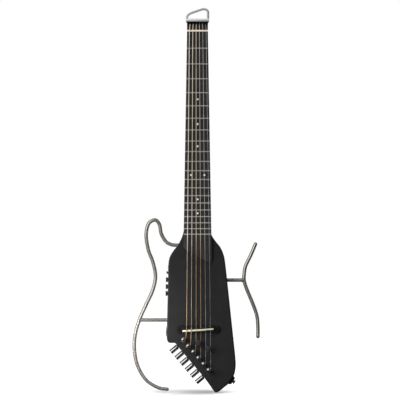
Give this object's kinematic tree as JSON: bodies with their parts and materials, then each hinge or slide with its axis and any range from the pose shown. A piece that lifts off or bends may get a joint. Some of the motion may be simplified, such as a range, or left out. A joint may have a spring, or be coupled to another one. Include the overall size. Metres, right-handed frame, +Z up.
{
  "type": "headless travel guitar with removable tube frame",
  "caption": "Headless black travel guitar: slim body, removable bent steel frame tubes, head loop, slanted row of tail tuners.",
  "frame": {"origin": "the point inside the head loop's highest bend that a wall hook holds, in the loop's middle plane", "axes": "+Z up along the neck towards the head, -Y out of the face with the strings, +X to the right when the face is looked at"},
  "size_m": [0.2736, 0.0519, 0.8259],
  "materials": {
    "black_lacquer": "satin black lacquer over wood",
    "fingerboard_wood": "oiled dark wood with pressed nickel frets",
    "bone": "polished bone-coloured plastic",
    "satin_zinc": "satin cast metal",
    "black_metal": "black plated metal",
    "black_plastic": "moulded black plastic",
    "bronze_string": "wound phosphor bronze",
    "steel_string": "drawn plain steel wire",
    "chrome": "polished plating",
    "stainless": "satin stainless tube",
    "brass": "machined brass",
    "circuit": "solder-masked circuit board"
  },
  "bodies": {
    "root": {"body": "black_lacquer", "neck": "black_lacquer", "truss_rod": "stainless", "fingerboard": "fingerboard_wood", "nut": "bone", "anchor_block": "satin_zinc", "clamp_bar": "black_metal", "head_loop": "satin_zinc", "bridge": "black_plastic", "saddle": "bone", "piezo_strip": "brass", "string_low_e": "bronze_string", "string_a": "bronze_string", "string_d": "bronze_string", "string_g": "bronze_string", "string_b": "steel_string", "string_high_e": "steel_string", "string_tree_1": "black_metal", "string_tree_2": "black_metal", "tuner_housing_1": "satin_zinc", "tuner_housing_2": "satin_zinc", "tuner_housing_3": "satin_zinc", "tuner_housing_4": "satin_zinc", "tuner_housing_5": "satin_zinc", "tuner_housing_6": "satin_zinc", "tuner_bushing_1": "chrome", "tuner_bushing_2": "chrome", "tuner_bushing_3": "chrome", "tuner_bushing_4": "chrome", "tuner_bushing_5": "chrome", "tuner_bushing_6": "chrome", "left_upper_sleeve": "brass", "left_upper_lock_screw": "stainless", "left_lower_sleeve": "brass", "left_lower_lock_screw": "stainless", "right_sleeve": "brass", "right_lock_screw": "stainless", "preamp_board": "circuit", "battery": "black_plastic", "electronics_cover": "black_plastic", "output_jack": "stainless", "strap_button": "black_plastic"},
    "tuner_knob_1": {"tuner_knob_1": "chrome"},
    "tuner_post_1": {"tuner_post_1": "chrome"},
    "tuner_knob_2": {"tuner_knob_2": "chrome"},
    "tuner_post_2": {"tuner_post_2": "chrome"},
    "tuner_knob_3": {"tuner_knob_3": "chrome"},
    "tuner_post_3": {"tuner_post_3": "chrome"},
    "tuner_knob_4": {"tuner_knob_4": "chrome"},
    "tuner_post_4": {"tuner_post_4": "chrome"},
    "tuner_knob_5": {"tuner_knob_5": "chrome"},
    "tuner_post_5": {"tuner_post_5": "chrome"},
    "tuner_knob_6": {"tuner_knob_6": "chrome"},
    "tuner_post_6": {"tuner_post_6": "chrome"},
    "control_knob_1": {"control_knob_1": "black_plastic"},
    "control_knob_2": {"control_knob_2": "black_plastic"},
    "control_knob_3": {"control_knob_3": "black_plastic"},
    "power_button": {"power_button": "black_plastic"},
    "left_frame": {"left_frame": "stainless"},
    "right_frame": {"right_frame": "stainless"}
  },
  "joints": [
    {"name": "tuner_knob_1_turn", "type": "hinge", "parent": "root", "child": "tuner_knob_1", "pos_m": [-0.05594, 0.017, -0.72205], "axis": [-0.765, 0, -0.644], "continuous": true},
    {"name": "tuner_post_1_turn", "type": "hinge", "parent": "root", "child": "tuner_post_1", "pos_m": [-0.04372, -0.003, -0.70784], "axis": [0, -1, 0], "continuous": true},
    {"name": "tuner_knob_2_turn", "type": "hinge", "parent": "root", "child": "tuner_knob_2", "pos_m": [-0.04499, 0.017, -0.73506], "axis": [-0.765, 0, -0.644], "continuous": true},
    {"name": "tuner_post_2_turn", "type": "hinge", "parent": "root", "child": "tuner_post_2", "pos_m": [-0.03277, -0.003, -0.72085], "axis": [0, -1, 0], "continuous": true},
    {"name": "tuner_knob_3_turn", "type": "hinge", "parent": "root", "child": "tuner_knob_3", "pos_m": [-0.03404, 0.017, -0.74806], "axis": [-0.765, 0, -0.644], "continuous": true},
    {"name": "tuner_post_3_turn", "type": "hinge", "parent": "root", "child": "tuner_post_3", "pos_m": [-0.02182, -0.003, -0.73386], "axis": [0, -1, 0], "continuous": true},
    {"name": "tuner_knob_4_turn", "type": "hinge", "parent": "root", "child": "tuner_knob_4", "pos_m": [-0.02309, 0.017, -0.76107], "axis": [-0.765, 0, -0.644], "continuous": true},
    {"name": "tuner_post_4_turn", "type": "hinge", "parent": "root", "child": "tuner_post_4", "pos_m": [-0.01087, -0.003, -0.74686], "axis": [0, -1, 0], "continuous": true},
    {"name": "tuner_knob_5_turn", "type": "hinge", "parent": "root", "child": "tuner_knob_5", "pos_m": [-0.01215, 0.017, -0.77407], "axis": [-0.765, 0, -0.644], "continuous": true},
    {"name": "tuner_post_5_turn", "type": "hinge", "parent": "root", "child": "tuner_post_5", "pos_m": [0.00007, -0.003, -0.75987], "axis": [0, -1, 0], "continuous": true},
    {"name": "tuner_knob_6_turn", "type": "hinge", "parent": "root", "child": "tuner_knob_6", "pos_m": [-0.0012, 0.017, -0.78708], "axis": [-0.765, 0, -0.644], "continuous": true},
    {"name": "tuner_post_6_turn", "type": "hinge", "parent": "root", "child": "tuner_post_6", "pos_m": [0.01102, -0.003, -0.77287], "axis": [0, -1, 0], "continuous": true},
    {"name": "control_knob_1_turn", "type": "hinge", "parent": "root", "child": "control_knob_1", "pos_m": [-0.07686, 0.017, -0.5789], "axis": [-1, 0, 0], "range_deg": [-150, 150]},
    {"name": "control_knob_2_turn", "type": "hinge", "parent": "root", "child": "control_knob_2", "pos_m": [-0.07722, 0.017, -0.59365], "axis": [-1, 0, 0], "range_deg": [-150, 150]},
    {"name": "control_knob_3_turn", "type": "hinge", "parent": "root", "child": "control_knob_3", "pos_m": [-0.07759, 0.017, -0.6084], "axis": [-1, 0, 0], "range_deg": [-150, 150]},
    {"name": "power_button_press", "type": "slide", "parent": "root", "child": "power_button", "axis": [1, 0, 0], "range_m": [0, 0.001], "stiffness_N_per_m": 400},
    {"name": "left_frame_pull", "type": "slide", "parent": "root", "child": "left_frame", "axis": [-1, 0, 0], "range_m": [0, 0.026]},
    {"name": "right_frame_pull", "type": "slide", "parent": "root", "child": "right_frame", "axis": [1, 0, 0], "range_m": [0, 0.026]}
  ],
  "couplings": [
    {"joint": "tuner_post_1_turn", "follows": "tuner_knob_1_turn", "ratio": 0.055556},
    {"joint": "tuner_post_2_turn", "follows": "tuner_knob_2_turn", "ratio": 0.055556},
    {"joint": "tuner_post_3_turn", "follows": "tuner_knob_3_turn", "ratio": 0.055556},
    {"joint": "tuner_post_4_turn", "follows": "tuner_knob_4_turn", "ratio": 0.055556},
    {"joint": "tuner_post_5_turn", "follows": "tuner_knob_5_turn", "ratio": 0.055556},
    {"joint": "tuner_post_6_turn", "follows": "tuner_knob_6_turn", "ratio": 0.055556}
  ]
}
